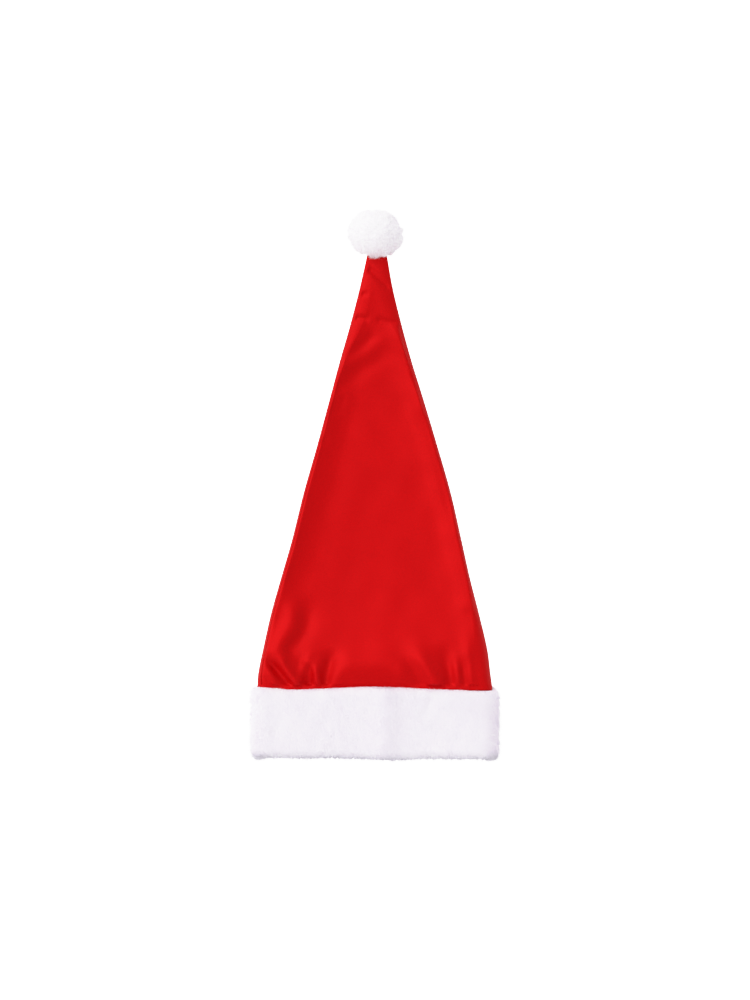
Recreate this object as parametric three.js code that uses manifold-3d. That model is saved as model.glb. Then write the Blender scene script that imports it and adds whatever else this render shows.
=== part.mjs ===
// A cone-shaped festive hat lying on its back: two satin panels, a folded plush band and a plush pompom.
// Millimetres. X runs across the hat, Y along it towards the pompom, and Z up from the surface it lies on.
import * as THREE from "three";
import { mergeVertices } from "three/addons/utils/BufferGeometryUtils.js";
import Module from "manifold-3d";

const { lerp, smoothstep, seededRandom } = THREE.MathUtils;
const wasm = await Module();
wasm.setup();

// Driving dimensions
const TOTAL_LENGTH = 638;
const BAND_WIDTH = 290;
const BAND_LENGTH = 86;
const BAND_WALL = 13;
const BAND_TOP_ROUND = 8;
const MOUTH_GAP = 14;
const CROWN_LENGTH = 498;
const CLOTH = 1.2;
const HEM = 5;
const SEAM_INSET = 9;
const POMPOM_WIDTH = 64;
const POMPOM_LENGTH = 58;
const POMPOM_SHIFT = 0.6;
const POMPOM_FLATTENED = 2;
const FIT_GAP = 0.3;
const TIP_CLEARANCE = 0.6;

// The side seams lie a little round the edges: the left one shows from above, the right one is underneath.
const SEAM_TURN = 0.13;
// The middle of a panel leaves the height of its left edge within one distance, and that of its right edge
// on a curve that fades over the other, or over a share of a narrow half.
const LEFT_EDGE_EASE = 30;
const RIGHT_EDGE_EASE = 15;
const EDGE_EASE_SHARE = 0.7;
// Folds fade out this close to an edge or to the band's seam.
const FOLD_FADE = 4;

// Cross-sections of the crown.
// along: distance from the band's seam; left, right: the outline; lift: the underside above the surface;
// roll: half the height of the oval side edges; leftEdge, rightEdge: how wide they are;
// dome: how far the middle stands above the edges.
const CROWN_SECTIONS = [
  { along: 0, left: -136, right: 136, lift: 9, roll: 11, leftEdge: 11, rightEdge: 11, dome: 0 },
  { along: 15, left: -135, right: 134, lift: 5.5, roll: 13.5, leftEdge: 8.5, rightEdge: 14, dome: 0 },
  { along: 43, left: -129.4, right: 130.5, lift: 1.6, roll: 14.7, leftEdge: 6.5, rightEdge: 15, dome: -1 },
  { along: 85, left: -120, right: 120.7, lift: 0.3, roll: 13.5, leftEdge: 6, rightEdge: 8, dome: -4 },
  { along: 126, left: -108.5, right: 110.3, lift: 0, roll: 13, leftEdge: 5.5, rightEdge: 4.5, dome: -7 },
  { along: 168, left: -96.4, right: 101, lift: 0, roll: 12, leftEdge: 5.5, rightEdge: 4.5, dome: -7 },
  { along: 224, left: -82.5, right: 88.3, lift: 0, roll: 11, leftEdge: 5.5, rightEdge: 4.5, dome: -6.5 },
  { along: 279, left: -66.9, right: 72.6, lift: 0, roll: 10.5, leftEdge: 5, rightEdge: 4.5, dome: -6.5 },
  { along: 335, left: -51.8, right: 55.9, lift: 0, roll: 10, leftEdge: 4.5, rightEdge: 4.5, dome: -5.5 },
  { along: 376, left: -40.8, right: 43.1, lift: 1, roll: 9.5, leftEdge: 4.5, rightEdge: 4.5, dome: -3.5 },
  { along: 418, left: -28.7, right: 31.5, lift: 5, roll: 8.5, leftEdge: 7, rightEdge: 5.5, dome: -1.5 },
  { along: 460, left: -17.7, right: 21.1, lift: 13, roll: 6, leftEdge: 9, rightEdge: 7.5, dome: 0 },
  { along: 498, left: -9, right: 14.2, lift: 19, roll: 2, leftEdge: 6, rightEdge: 6, dome: 0 },
];

// Folds of the upper panel, each on a bent line through places across and along the crown.
// spread: half its width; height: below 0 for a crease; fade: the share of the line over which it rises.
const CROWN_FOLDS = [
  { line: [[-99, 126], [-96, 92], [-97, 74], [-105, 57], [-111, 42]],
    spread: 11.5, height: 6.8, fade: 0.35 },
  { line: [[-133, 39], [-124, 29], [-111, 17], [-103, 8], [-98, 0]], spread: 5, height: -4.4, fade: 0.3 },
  { line: [[-111, 42], [-103, 22], [-93, 8], [-89, 0]], spread: 5.5, height: 5, fade: 0.25 },
  { line: [[-93, 47], [-88, 30], [-82, 16], [-79, 5]], spread: 7, height: -3.4, fade: 0.5 },
  { line: [[-71, 36], [-69, 20], [-66, 7], [-63, 0]], spread: 5, height: 4.4, fade: 0.4 },
  { line: [[-51, 47], [-52, 30], [-55, 14], [-58, 0]], spread: 7, height: -5.4, fade: 0.4 },
  { line: [[-29, 39], [-38, 23], [-45, 9], [-48, 0]], spread: 8, height: 1.4, fade: 0.4 },
  { line: [[-26, 24], [0, 27], [27, 24]], spread: 16, height: 5, fade: 0 },
  { line: [[18, 51], [31, 35], [44, 20], [56, 3]], spread: 9, height: -2, fade: 0.5 },
  { line: [[36, 59], [49, 42], [59, 24], [67, 9], [71, 0]], spread: 9, height: 5.4, fade: 0.5 },
  { line: [[75, 53], [81, 35], [86, 16], [88, 0]], spread: 7.5, height: -4.4, fade: 0.5 },
  { line: [[31, 385], [45, 332], [59, 279], [74, 224], [88, 168], [98, 126], [105, 94]],
    spread: 8, height: 2, fade: 0.3 },
  { line: [[103, 94], [107, 59], [108, 36], [109, 16], [110, 0]], spread: 7, height: 3, fade: 0.5 },
  { line: [[5, 414], [-6, 402], [-20, 390], [-32, 382]], spread: 7, height: -1.8, fade: 0.3 },
  { line: [[20, 421], [12, 406], [-3, 392], [-19, 382], [-37, 373]], spread: 9, height: 1, fade: 0.4 },
  { line: [[22, 397], [11, 384], [-8, 370], [-26, 359], [-42, 347]], spread: 10, height: -2, fade: 0.4 },
  { line: [[24, 425], [33, 395], [43, 360], [53, 325]], spread: 12, height: 3, fade: 0.25 },
];
const FOLD_STEPS = 16;

// Soft packing folds of the band's upper side, which run along the hat: place, half-width and height.
const BAND_FOLDS = [
  { x: -114, spread: 11, height: -1.6 },
  { x: -4, spread: 46, height: 1 },
  { x: 12, spread: 14, height: 4 },
  { x: 62, spread: 15, height: -1.2 },
];
const BAND_TUFT = 2;
const BAND_ROWS = 5;
const BAND_ARC_STEPS = 2;
const BAND_SEED = 7;

// Rows of facets along the crown, closer together where the cloth gathers: a stretch's end and its rows.
const CROWN_ROWS = [
  { end: 0, rows: 1 },
  { end: 49, rows: 7 },
  { end: 126, rows: 4 },
  { end: 376, rows: 6 },
  { end: CROWN_LENGTH, rows: 12 },
];

// Columns of facets round the crown's panels and the band, each up to a place on the flattened ring.
const FRONT_COLUMNS = [{ end: 1, rows: 6 }, { end: 2, rows: 36 }, { end: 2 + SEAM_TURN, rows: 2 }];
const BACK_COLUMNS = [{ end: 3, rows: 6 }, { end: 4, rows: 8 }, { end: 4 + SEAM_TURN, rows: 2 }];
const BAND_COLUMNS = [{ end: 1, rows: 8 }, { end: 2, rows: 30 }, { end: 3, rows: 8 }, { end: 4, rows: 12 }];

// Plush locks of the pompom: rows on each face of its ball, length, unevenness, taper, bluntness and twist.
const LOCK_ROWS = 2;
const LOCK_LENGTH = 5;
const LOCK_UNEVEN = 1.2;
const LOCK_TAPER = 0.3;
const LOCK_BLUNT = 1.2;
const LOCK_TWIST = 0.6;
const LOCK_SEED = 11;
const TWIST_AXLE = new THREE.Vector3(1, 1, 1).normalize();

const SATIN = { color: 0xc8121a, roughness: 0.45, metalness: 0 };
const PLUSH = { color: 0xf3eff4, roughness: 0.95, metalness: 0 };

// Values from start to the end of each stretch, evenly spaced within it.
function spread(start, stretches) {
  const values = [start];
  let from = start;
  for (const { end, rows } of stretches) {
    for (let row = 1; row <= rows; row += 1) values.push(lerp(from, end, row / rows));
    from = end;
  }
  return values;
}

// A point on a flattened ring with two oval ends and two straight sides, its middle at height 0.
// Place 0 to 1 is the right end from below, 1 to 2 the top from right to left,
// 2 to 3 the left end from above, and 3 to 4 the underside from left to right.
function ringPoint({ left, right, leftEdge, rightEdge, tall }, place) {
  const stretch = Math.floor(place) % 4;
  const part = place - Math.floor(place);
  if (stretch === 1) return { x: lerp(right - rightEdge, left + leftEdge, part), z: tall };
  if (stretch === 3) return { x: lerp(left + leftEdge, right - rightEdge, part), z: -tall };
  const turn = Math.PI * (part - 0.5);
  if (stretch === 0) return { x: right - rightEdge * (1 - Math.cos(turn)), z: tall * Math.sin(turn) };
  return { x: left + leftEdge * (1 - Math.cos(turn)), z: -tall * Math.sin(turn) };
}

const SECTION_COLUMNS = ["left", "right", "lift", "roll", "leftEdge", "rightEdge", "dome"];
const sectionCurve = new THREE.CubicInterpolant(
  CROWN_SECTIONS.map((row) => row.along),
  CROWN_SECTIONS.flatMap((row) => SECTION_COLUMNS.map((column) => row[column])),
  SECTION_COLUMNS.length,
);

// The crown's cross-section at a distance from the seam, on smooth curves through the table's rows.
function sectionAt(along) {
  const [left, right, lift, roll, leftEdge, rightEdge, dome] = sectionCurve.evaluate(Math.max(along, 0));
  return { left, right, lift: Math.max(lift, 0), roll, leftEdge, rightEdge, dome };
}

const foldLines = CROWN_FOLDS.map((fold) => {
  const bent = new THREE.CatmullRomCurve3(fold.line.map(([x, along]) => new THREE.Vector3(x, along, 0)));
  return { ...fold, points: bent.getPoints(FOLD_STEPS) };
});

// Height that the folds add at a point of the upper panel: each rises from the start of its line, where it
// is half as wide again, and fades like a bell curve away from the line.
function foldHeight(x, along) {
  const point = new THREE.Vector3(x, along, 0);
  const piece = new THREE.Line3();
  const nearest = new THREE.Vector3();
  let total = 0;
  for (const { points, spread: wide, height, fade } of foldLines) {
    let away = Infinity;
    let place = 0;
    for (let index = 0; index < FOLD_STEPS; index += 1) {
      piece.set(points[index], points[index + 1]);
      const part = piece.closestPointToPointParameter(point, true);
      const apart = piece.at(part, nearest).distanceTo(point);
      if (apart < away) {
        away = apart;
        place = (index + part) / FOLD_STEPS;
      }
    }
    const rise = fade > 0 ? smoothstep(place, 0, fade) : 1;
    total += height * rise * Math.exp(-((away / lerp(1.5 * wide, wide, rise)) ** 2));
  }
  return total * smoothstep(along, 0, FOLD_FADE);
}

// A point of the crown's outer face. The upper side is folded, and domed or sunk between its edges:
// it leaves the left one on a parabola and the right one on a longer, fading curve.
function crownPoint(along, place) {
  const { left, right, lift, roll, leftEdge, rightEdge, dome } = sectionAt(along);
  const point = ringPoint({ left, right, leftEdge, rightEdge, tall: roll }, place);
  let height = lift + roll + point.z;
  if (place > 1 && place < 2) {
    const fromLeft = point.x - left - leftEdge;
    const fromRight = right - rightEdge - point.x;
    const half = EDGE_EASE_SHARE * ((right - left) / 2 - roll);
    const leftEase = 1 - (1 - Math.min(fromLeft / Math.min(LEFT_EDGE_EASE, half), 1)) ** 2;
    const rightEase = 1 - Math.exp(-fromRight / Math.min(RIGHT_EDGE_EASE, half / 2));
    height += dome * leftEase * rightEase;
    height += foldHeight(point.x, along) * smoothstep(Math.min(fromLeft, fromRight), 0, FOLD_FADE);
  }
  return new THREE.Vector3(point.x, along, height);
}

// The crown's inner face: one thickness of cloth inside the outer face, square to it.
function crownInnerPoint(along, place) {
  const step = 1e-3;
  const round = crownPoint(along, place + step).sub(crownPoint(along, place - step));
  const upward = crownPoint(along + step, place).sub(crownPoint(along - step, place));
  const inward = round.cross(upward).normalize();
  return crownPoint(along, place).addScaledVector(inward, CLOTH);
}

// Triangles of a grid of points, two to a cell, facing the side from which rows and columns turn leftwards.
function gridFaces(rows, columns, indexAt) {
  const faces = [];
  for (let row = 0; row < rows; row += 1) {
    for (let column = 0; column < columns; column += 1) {
      const a = indexAt(row, column);
      const b = indexAt(row, column + 1);
      const c = indexAt(row + 1, column + 1);
      const d = indexAt(row + 1, column);
      faces.push(a, c, b, a, d, c);
    }
  }
  return faces;
}

function meshGeometry(points, faces) {
  const geometry = new THREE.BufferGeometry().setFromPoints(points);
  geometry.setIndex(faces);
  geometry.computeVertexNormals();
  return geometry;
}

// One panel of the crown: its outer face, its inner face and the rim between them.
// The points of each row run across the outer face and back across the inner one.
function panelGeometry(places) {
  const alongs = spread(FIT_GAP - HEM, CROWN_ROWS);
  const points = [];
  for (const along of alongs) {
    for (const place of places) points.push(crownPoint(along, place));
    for (const place of places.toReversed()) points.push(crownInnerPoint(along, place));
  }
  const round = 2 * places.length;
  const last = alongs.length - 1;
  const faces = gridFaces(last, round, (row, column) => row * round + (column % round));
  const rim = (side) => (row, column) => side * round + (row === 0 ? column : round - 1 - column);
  faces.push(...gridFaces(1, places.length - 1, rim(0)).toReversed());
  faces.push(...gridFaces(1, places.length - 1, rim(last)));
  return meshGeometry(points, faces);
}

// Places from one side seam to the other, with half of the gap between the panels left at each end.
function panelPlaces(start, columns) {
  const places = spread(start, columns);
  const { roll } = sectionAt(CROWN_LENGTH / 2);
  const halfGap = FIT_GAP / 2 / (Math.PI * roll);
  places[0] += halfGap;
  places[places.length - 1] -= halfGap;
  return places;
}

// The band's section: x is the depth below the outer pile, y the height from the lower fold.
// It goes round the fold, up the outer face in rows of tufts, over the top, into the slot and down inside.
function bandProfile() {
  const fold = BAND_WALL / 2;
  const outerTop = BAND_LENGTH - BAND_TOP_ROUND;
  const slotOuter = SEAM_INSET - FIT_GAP;
  const slotInner = SEAM_INSET + CLOTH + FIT_GAP;
  const path = new THREE.Path();
  path.absarc(fold, fold, fold, 0, Math.PI, true);
  for (let row = 1; row < BAND_ROWS; row += 1) path.lineTo(0, lerp(fold, outerTop, row / BAND_ROWS));
  path.absarc(BAND_TOP_ROUND, outerTop, BAND_TOP_ROUND, Math.PI, Math.PI / 2, true);
  path.lineTo(slotOuter, BAND_LENGTH);
  path.lineTo(slotOuter, BAND_LENGTH - HEM);
  path.lineTo(slotInner, BAND_LENGTH - HEM);
  path.lineTo(slotInner, BAND_LENGTH);
  path.lineTo(BAND_WALL, BAND_LENGTH - (BAND_WALL - slotInner));
  path.lineTo(BAND_WALL, BAND_LENGTH / 2);
  return path.getPoints(BAND_ARC_STEPS);
}

// Height that the packing folds add to the band's upper side, each fading like a bell curve.
function bandFoldHeight(x) {
  let height = 0;
  for (const fold of BAND_FOLDS) height += fold.height * Math.exp(-(((x - fold.x) / fold.spread) ** 2));
  return height;
}

// The band: its section carried round a flattened ring. Tufts sink the outer pile unevenly, the packing
// folds shape the upper side, and the underside stays flat where it rests.
function bandGeometry() {
  const profile = bandProfile();
  const places = spread(0, BAND_COLUMNS).slice(0, -1);
  const radius = BAND_WALL + MOUTH_GAP / 2;
  const points = [];
  seededRandom(BAND_SEED);
  for (const { x: depth, y: height } of profile) {
    const pile = Math.max(0, 1 - depth / SEAM_INSET);
    for (const place of places) {
      const sink = place < 3 ? BAND_TUFT * pile * seededRandom() : 0;
      const reach = BAND_WIDTH / 2 - depth - sink;
      const tall = radius - depth - sink;
      const point = ringPoint({ left: -reach, right: reach, leftEdge: tall, rightEdge: tall, tall }, place);
      const fold = place > 1 && place < 2 ? pile * bandFoldHeight(point.x) : 0;
      points.push(new THREE.Vector3(point.x, height, radius + point.z + fold));
    }
  }
  const round = places.length;
  const at = (row, column) => (row % profile.length) * round + (column % round);
  return meshGeometry(points, gridFaces(profile.length, round, at));
}

function toSolid(geometry) {
  geometry.deleteAttribute("normal");
  geometry.deleteAttribute("uv");
  const merged = mergeVertices(geometry);
  const vertProperties = new Float32Array(merged.attributes.position.array);
  const triVerts = new Uint32Array(merged.index.array);
  return new wasm.Manifold(new wasm.Mesh({ numProp: 3, vertProperties, triVerts }));
}

function toGeometry(solid) {
  const { vertProperties, triVerts } = solid.getMesh();
  const geometry = new THREE.BufferGeometry();
  geometry.setAttribute("position", new THREE.BufferAttribute(vertProperties, 3));
  geometry.setIndex(new THREE.BufferAttribute(triVerts, 1));
  geometry.computeVertexNormals();
  return geometry;
}

// The pompom about its own centre: every face of a twisted ball is raised into a blunt lock of plush,
// then it is flattened where it rests and gets a slot in its near side for the crown's tip.
function pompomGeometry(rest, tip) {
  const reach = new THREE.Vector3(POMPOM_WIDTH, POMPOM_LENGTH, POMPOM_LENGTH).divideScalar(2);
  const core = reach.clone().subScalar(LOCK_LENGTH);
  const ball = new THREE.IcosahedronGeometry(1, LOCK_ROWS).attributes.position;
  const points = [];
  seededRandom(LOCK_SEED);
  for (let first = 0; first < ball.count; first += 3) {
    const corners = [0, 1, 2].map((corner) => new THREE.Vector3().fromBufferAttribute(ball, first + corner));
    for (const corner of corners) {
      corner.applyAxisAngle(TWIST_AXLE, LOCK_TWIST * Math.sin(Math.PI * corner.dot(TWIST_AXLE)));
    }
    const outward = new THREE.Triangle(...corners).getMidpoint(new THREE.Vector3()).normalize();
    const shorter = LOCK_UNEVEN * seededRandom();
    const end = outward.clone().multiply(reach.clone().subScalar(shorter));
    const feet = corners.map((corner) => corner.clone().multiply(core));
    const shoulders = corners.map((corner) => corner.clone().lerp(outward, LOCK_TAPER).normalize()
      .multiply(reach.clone().subScalar(shorter + LOCK_BLUNT)));
    for (const corner of [0, 1, 2]) {
      const next = (corner + 1) % 3;
      points.push(feet[corner], feet[next], shoulders[next]);
      points.push(feet[corner], shoulders[next], shoulders[corner]);
      points.push(shoulders[corner], shoulders[next], end);
    }
  }
  const locks = new THREE.BufferGeometry().setFromPoints(points);
  const floor = new THREE.BoxGeometry(POMPOM_WIDTH, POMPOM_LENGTH, POMPOM_LENGTH);
  floor.translate(0, 0, -rest - POMPOM_LENGTH / 2);
  const slot = new THREE.BoxGeometry(tip.width, POMPOM_LENGTH, tip.thickness);
  slot.translate(tip.x, tip.y - POMPOM_LENGTH / 2, tip.z);
  return toGeometry(toSolid(locks).subtract(toSolid(floor)).subtract(toSolid(slot)));
}

function namedMesh(name, geometry, finish) {
  const mesh = new THREE.Mesh(geometry, new THREE.MeshStandardMaterial(finish));
  mesh.name = name;
  return mesh;
}

// Assembly, with the band's lower edge at Y 0 until the whole is centred
const crown = new THREE.Group();
crown.position.y = BAND_LENGTH;
crown.add(namedMesh("crown_front", panelGeometry(panelPlaces(SEAM_TURN, FRONT_COLUMNS)), SATIN));
crown.add(namedMesh("crown_back", panelGeometry(panelPlaces(2 + SEAM_TURN, BACK_COLUMNS)), SATIN));

const pompomPlace = new THREE.Vector3(
  POMPOM_SHIFT,
  TOTAL_LENGTH - POMPOM_LENGTH / 2,
  POMPOM_LENGTH / 2 - POMPOM_FLATTENED,
);
const tipSection = sectionAt(CROWN_LENGTH);
const tip = {
  x: (tipSection.left + tipSection.right) / 2 - pompomPlace.x,
  y: BAND_LENGTH + CROWN_LENGTH + FIT_GAP - pompomPlace.y,
  z: tipSection.lift + tipSection.roll - pompomPlace.z,
  width: tipSection.right - tipSection.left + 2 * TIP_CLEARANCE,
  thickness: 2 * (tipSection.roll + TIP_CLEARANCE),
};
const pompom = namedMesh("pompom", pompomGeometry(pompomPlace.z, tip), PLUSH);
pompom.position.copy(pompomPlace);

const hat = new THREE.Group();
hat.position.y = -TOTAL_LENGTH / 2;
hat.add(crown, namedMesh("fur_band", bandGeometry(), PLUSH), pompom);

const part = new THREE.Group();
part.add(hat);

export default part;
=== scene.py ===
"""Looks of a soft cone hat lying on its back: red satin panels, a folded white plush band and a pompom.

Shapes are worked out in millimetres in the frame's own axes: X across the hat, Y along it, Z up.
"""
from collections import namedtuple

import bpy
import numpy as np
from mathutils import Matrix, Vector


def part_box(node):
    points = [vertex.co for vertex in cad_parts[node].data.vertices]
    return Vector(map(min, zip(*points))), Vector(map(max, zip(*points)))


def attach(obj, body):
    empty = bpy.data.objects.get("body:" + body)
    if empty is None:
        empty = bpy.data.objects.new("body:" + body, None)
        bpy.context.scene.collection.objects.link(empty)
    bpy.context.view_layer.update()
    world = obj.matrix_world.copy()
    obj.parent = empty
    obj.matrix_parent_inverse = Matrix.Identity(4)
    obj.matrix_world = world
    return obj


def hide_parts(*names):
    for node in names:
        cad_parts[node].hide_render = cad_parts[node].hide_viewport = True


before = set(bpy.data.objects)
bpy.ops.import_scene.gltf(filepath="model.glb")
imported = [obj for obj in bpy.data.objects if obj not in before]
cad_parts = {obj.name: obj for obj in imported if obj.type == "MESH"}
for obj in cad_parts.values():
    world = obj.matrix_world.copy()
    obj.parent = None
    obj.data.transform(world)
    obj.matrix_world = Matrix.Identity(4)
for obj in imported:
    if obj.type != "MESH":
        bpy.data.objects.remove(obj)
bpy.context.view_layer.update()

MM = 0.001
BAKE_MAP = "OFBake"

# Driving sizes, as in the solids, but the tip is tucked further into the pompom's loose pile and the side
# seams lie a little further round
BAND_WIDTH = 290.0
BAND_LENGTH = 86.0
BAND_WALL = 13.0
MOUTH_GAP = 14.0
BAND_RADIUS = BAND_WALL + MOUTH_GAP / 2
CROWN_LENGTH = 498.0
TIP_TUCK = 2.0
CLOTH = 1.2
HEM = 5.0
SEAM_INSET = 9.0
SEAM_TURN = 0.17
FIT_GAP = 0.3
EDGE_EASE = (30.0, 15.0)
EDGE_EASE_SHARE = 0.7
FOLD_FADE = 4.0
BAND_FOOT_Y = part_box("fur_band")[0][1] / MM
SEAM_Y = BAND_FOOT_Y + BAND_LENGTH
TIP_Y = SEAM_Y + CROWN_LENGTH + TIP_TUCK

# The photograph's frame: width of a pixel on the hat, its middle, and the height that it is measured at
PHOTO_SIZE = (750, 1000)
PIXEL_MM = 1.1577
PHOTO_CENTRE = (0.3, -17.4)
MEASURED_AT = 20.0
LENS = 100.0
SENSOR = 36.0

# Cross-sections of the crown: distance from the band's seam, outline, underside's height, half the height
# of the oval side edges, how wide the left and right ones are, and the middle's height above them
Section = namedtuple("Section", "along left right lift roll left_edge right_edge dome")
CROWN_SECTIONS = [
    Section(0, -136, 136, 9, 11, 11, 11, 0),
    Section(15, -135, 134, 5.5, 13.5, 8.5, 14, 0),
    Section(43, -129.4, 130.5, 1.6, 14.7, 6.5, 15, -1),
    Section(85, -120, 120.7, 0.3, 13.5, 6, 8, -4),
    Section(126, -108.5, 110.3, 0, 13, 5.5, 4.5, -7),
    Section(168, -96.4, 101, 0, 12, 5.5, 4.5, -7),
    Section(224, -82.5, 88.3, 0, 11, 5.5, 4.5, -6.5),
    Section(279, -66.9, 72.6, 0, 10.5, 5, 4.5, -6.5),
    Section(335, -51.8, 55.9, 0, 10, 4.5, 4.5, -5.5),
    Section(376, -40.8, 43.1, 1, 9.5, 6, 5, -3.5),
    Section(418, -28.7, 31.5, 5, 8.5, 14, 12, -1.5),
    Section(460, -17.7, 21.1, 13, 6, 15, 19, 0),
    Section(500, -8.6, 14, 19.2, 2, 9, 13, 0),
]

# Folds of the upper panel: creases (height below 0) and ridges on bent lines of places across and along,
# with half their width in spread. Each rises from its first place, where it is FOLD_START times as wide,
# over that share of its line.
Fold = namedtuple("Fold", "line spread height fade")
CROWN_FOLDS = [
    Fold([(-99, 126), (-96, 92), (-97, 74), (-105, 57), (-111, 42)], 11.5, 5.8, 0.35),
    Fold([(-84, 105), (-79, 87), (-79, 69), (-87, 54), (-97, 45)], 9, -3, 0.4),
    Fold([(-132, 46), (-126, 30), (-120, 14), (-113, 0)], 5, 3, 0.4),
    Fold([(-133, 39), (-124, 29), (-111, 17), (-103, 8), (-98, 0)], 5, -4.4, 0.3),
    Fold([(-111, 42), (-103, 22), (-93, 8), (-89, 0)], 5.5, 5, 0.25),
    Fold([(-93, 47), (-88, 30), (-82, 16), (-79, 5)], 7, -3.4, 0.5),
    Fold([(-66, 47), (-76, 34), (-83, 21), (-86, 9)], 5, 2.2, 0.5),
    Fold([(-75, 30), (-74, 16), (-75, 0)], 4.5, -3, 0.4),
    Fold([(-71, 36), (-69, 20), (-66, 7), (-63, 0)], 5, 4.4, 0.4),
    Fold([(-51, 47), (-52, 30), (-55, 14), (-58, 0)], 7, -5.4, 0.4),
    Fold([(-29, 39), (-38, 23), (-45, 9), (-48, 0)], 8, 1.4, 0.4),
    Fold([(-26, 24), (0, 27), (27, 24)], 17, 4.8, 0),
    Fold([(18, 51), (31, 35), (44, 20), (56, 3)], 9, -2, 0.5),
    Fold([(36, 59), (49, 42), (59, 24), (67, 9), (71, 0)], 9, 5.4, 0.5),
    Fold([(75, 53), (81, 35), (86, 16), (88, 0)], 7.5, -4.4, 0.5),
    Fold([(90, 44), (94, 25), (95, 12), (95, 0)], 5, 2.8, 0.5),
    Fold([(99, 39), (102, 25), (104, 12), (105, 0)], 5, -3.4, 0.5),
    Fold([(31, 385), (45, 332), (59, 279), (74, 224), (88, 168), (98, 126), (105, 94)], 8, 2, 0.3),
    Fold([(103, 94), (107, 59), (108, 36), (109, 16), (110, 0)], 7, 3, 0.5),
    Fold([(5, 414), (-6, 402), (-20, 390), (-32, 382)], 7, -1.8, 0.3),
    Fold([(20, 421), (12, 406), (-3, 392), (-19, 382), (-37, 373)], 9, 1, 0.4),
    Fold([(22, 397), (11, 384), (-8, 370), (-26, 359), (-42, 347)], 10, -2, 0.4),
    Fold([(24, 425), (33, 395), (43, 360), (53, 325)], 12, 3, 0.25),
    Fold([(-5, 453), (-15, 454), (-22, 455)], 3, -1.8, 0.4),
    Fold([(-3, 425), (-15, 426), (-29, 427)], 3.5, -2, 0.4),
    Fold([(29, 420), (19, 421), (6, 424)], 3.5, -1.6, 0.4),
    Fold([(-10, 485), (-2, 479), (5, 472), (15, 462)], 4, -2.2, 0.25),
    Fold([(-30, 332), (-38, 330), (-46, 328)], 4, -1.2, 0.5),
    Fold([(-33, 322), (-42, 320), (-50, 319)], 4, -1.2, 0.5),
    Fold([(-52, 287), (-58, 285), (-64, 284)], 5, -1, 0.5),
]
FOLD_STEPS = 4
FOLD_START = 1.5

# Soft packing folds of the band's upper side, and its lumps: how high, and each swell's size and seed
BandFold = namedtuple("BandFold", "x spread height")
BAND_FOLDS = [
    BandFold(-114, 11, -1.6),
    BandFold(-4, 46, 1.0),
    BandFold(12, 14, 4),
    BandFold(62, 15, -1.2),
]
BAND_LUMPS = 0.4
BAND_SWELLS = ((15, 81), (38, 82))


# Shapes

def smoothstep(value, low, high):
    """0 below low and 1 above high, with an S-curve between."""
    part = np.clip((value - low) / (high - low), 0, 1)
    return part * part * (3 - 2 * part)


def curve_through(places, stops, values):
    """A smooth curve through the stops: cubic pieces whose slope at a stop is that between its
    neighbours."""
    stops = np.asarray(stops, float)
    values = np.asarray(values, float)
    slopes = np.gradient(values, stops)
    slopes[1:-1] = (values[2:] - values[:-2]) / (stops[2:] - stops[:-2])
    index = np.clip(np.searchsorted(stops, places) - 1, 0, len(stops) - 2)
    span = stops[index + 1] - stops[index]
    t = np.clip((places - stops[index]) / span, 0, 1)
    rise = values[index + 1] - values[index]
    start, end = slopes[index] * span, slopes[index + 1] * span
    return values[index] + t * (start + t * (3 * rise - 2 * start - end + t * (start + end - 2 * rise)))


def ring(left, right, edges, tall, place):
    """A flattened ring with two oval ends and two straight sides: x, z about its middle, and the way out.

    Edges are how wide the left and right ends are, and tall is half the height. Place 0 to 1 is the right
    end from below, 1 to 2 the top, 2 to 3 the left end, 3 to 4 the underside.
    """
    stretch = np.floor(place) % 4
    part = place - np.floor(place)
    turn = np.pi * (part - 0.5)
    ends = [stretch == 0, stretch == 1, stretch == 2]
    round_x = np.select(ends, [np.cos(turn), 0 * turn, -np.cos(turn)], 0.0)
    round_z = np.select(ends, [np.sin(turn), 0 * turn + 1, -np.sin(turn)], -1.0)
    edge = np.where(stretch == 0, edges[1], edges[0])
    near, far = right - edges[1], left + edges[0]
    middle = np.select(ends, [near, near + (far - near) * part, far], far + (near - far) * part)
    slant = np.hypot(round_x * tall, round_z * edge)
    return middle + edge * round_x, tall * round_z, round_x * tall / slant, round_z * edge / slant


WAVE_COUNT = 10
WAVE_LENGTHS = (0.7, 1.5)


def waves(x, y, size, seed):
    """Uneven swell between about -1 and 1: sine waves about size long, in seeded directions."""
    rng = np.random.default_rng(seed)
    total = np.zeros(np.broadcast(x, y).shape)
    low = (0, 0, WAVE_LENGTHS[0])
    high = (2 * np.pi, 2 * np.pi, WAVE_LENGTHS[1])
    for way, phase, stretch in rng.uniform(low, high, (WAVE_COUNT, 3)):
        total += np.sin((x * np.cos(way) + y * np.sin(way)) * 2 * np.pi / (size * stretch) + phase)
    return total / np.sqrt(2 * WAVE_COUNT)


def uneven(x, y, swells):
    """Several swells added up, each given by its size and its seed."""
    return sum(waves(x, y, size, seed) for size, seed in swells)


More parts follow.
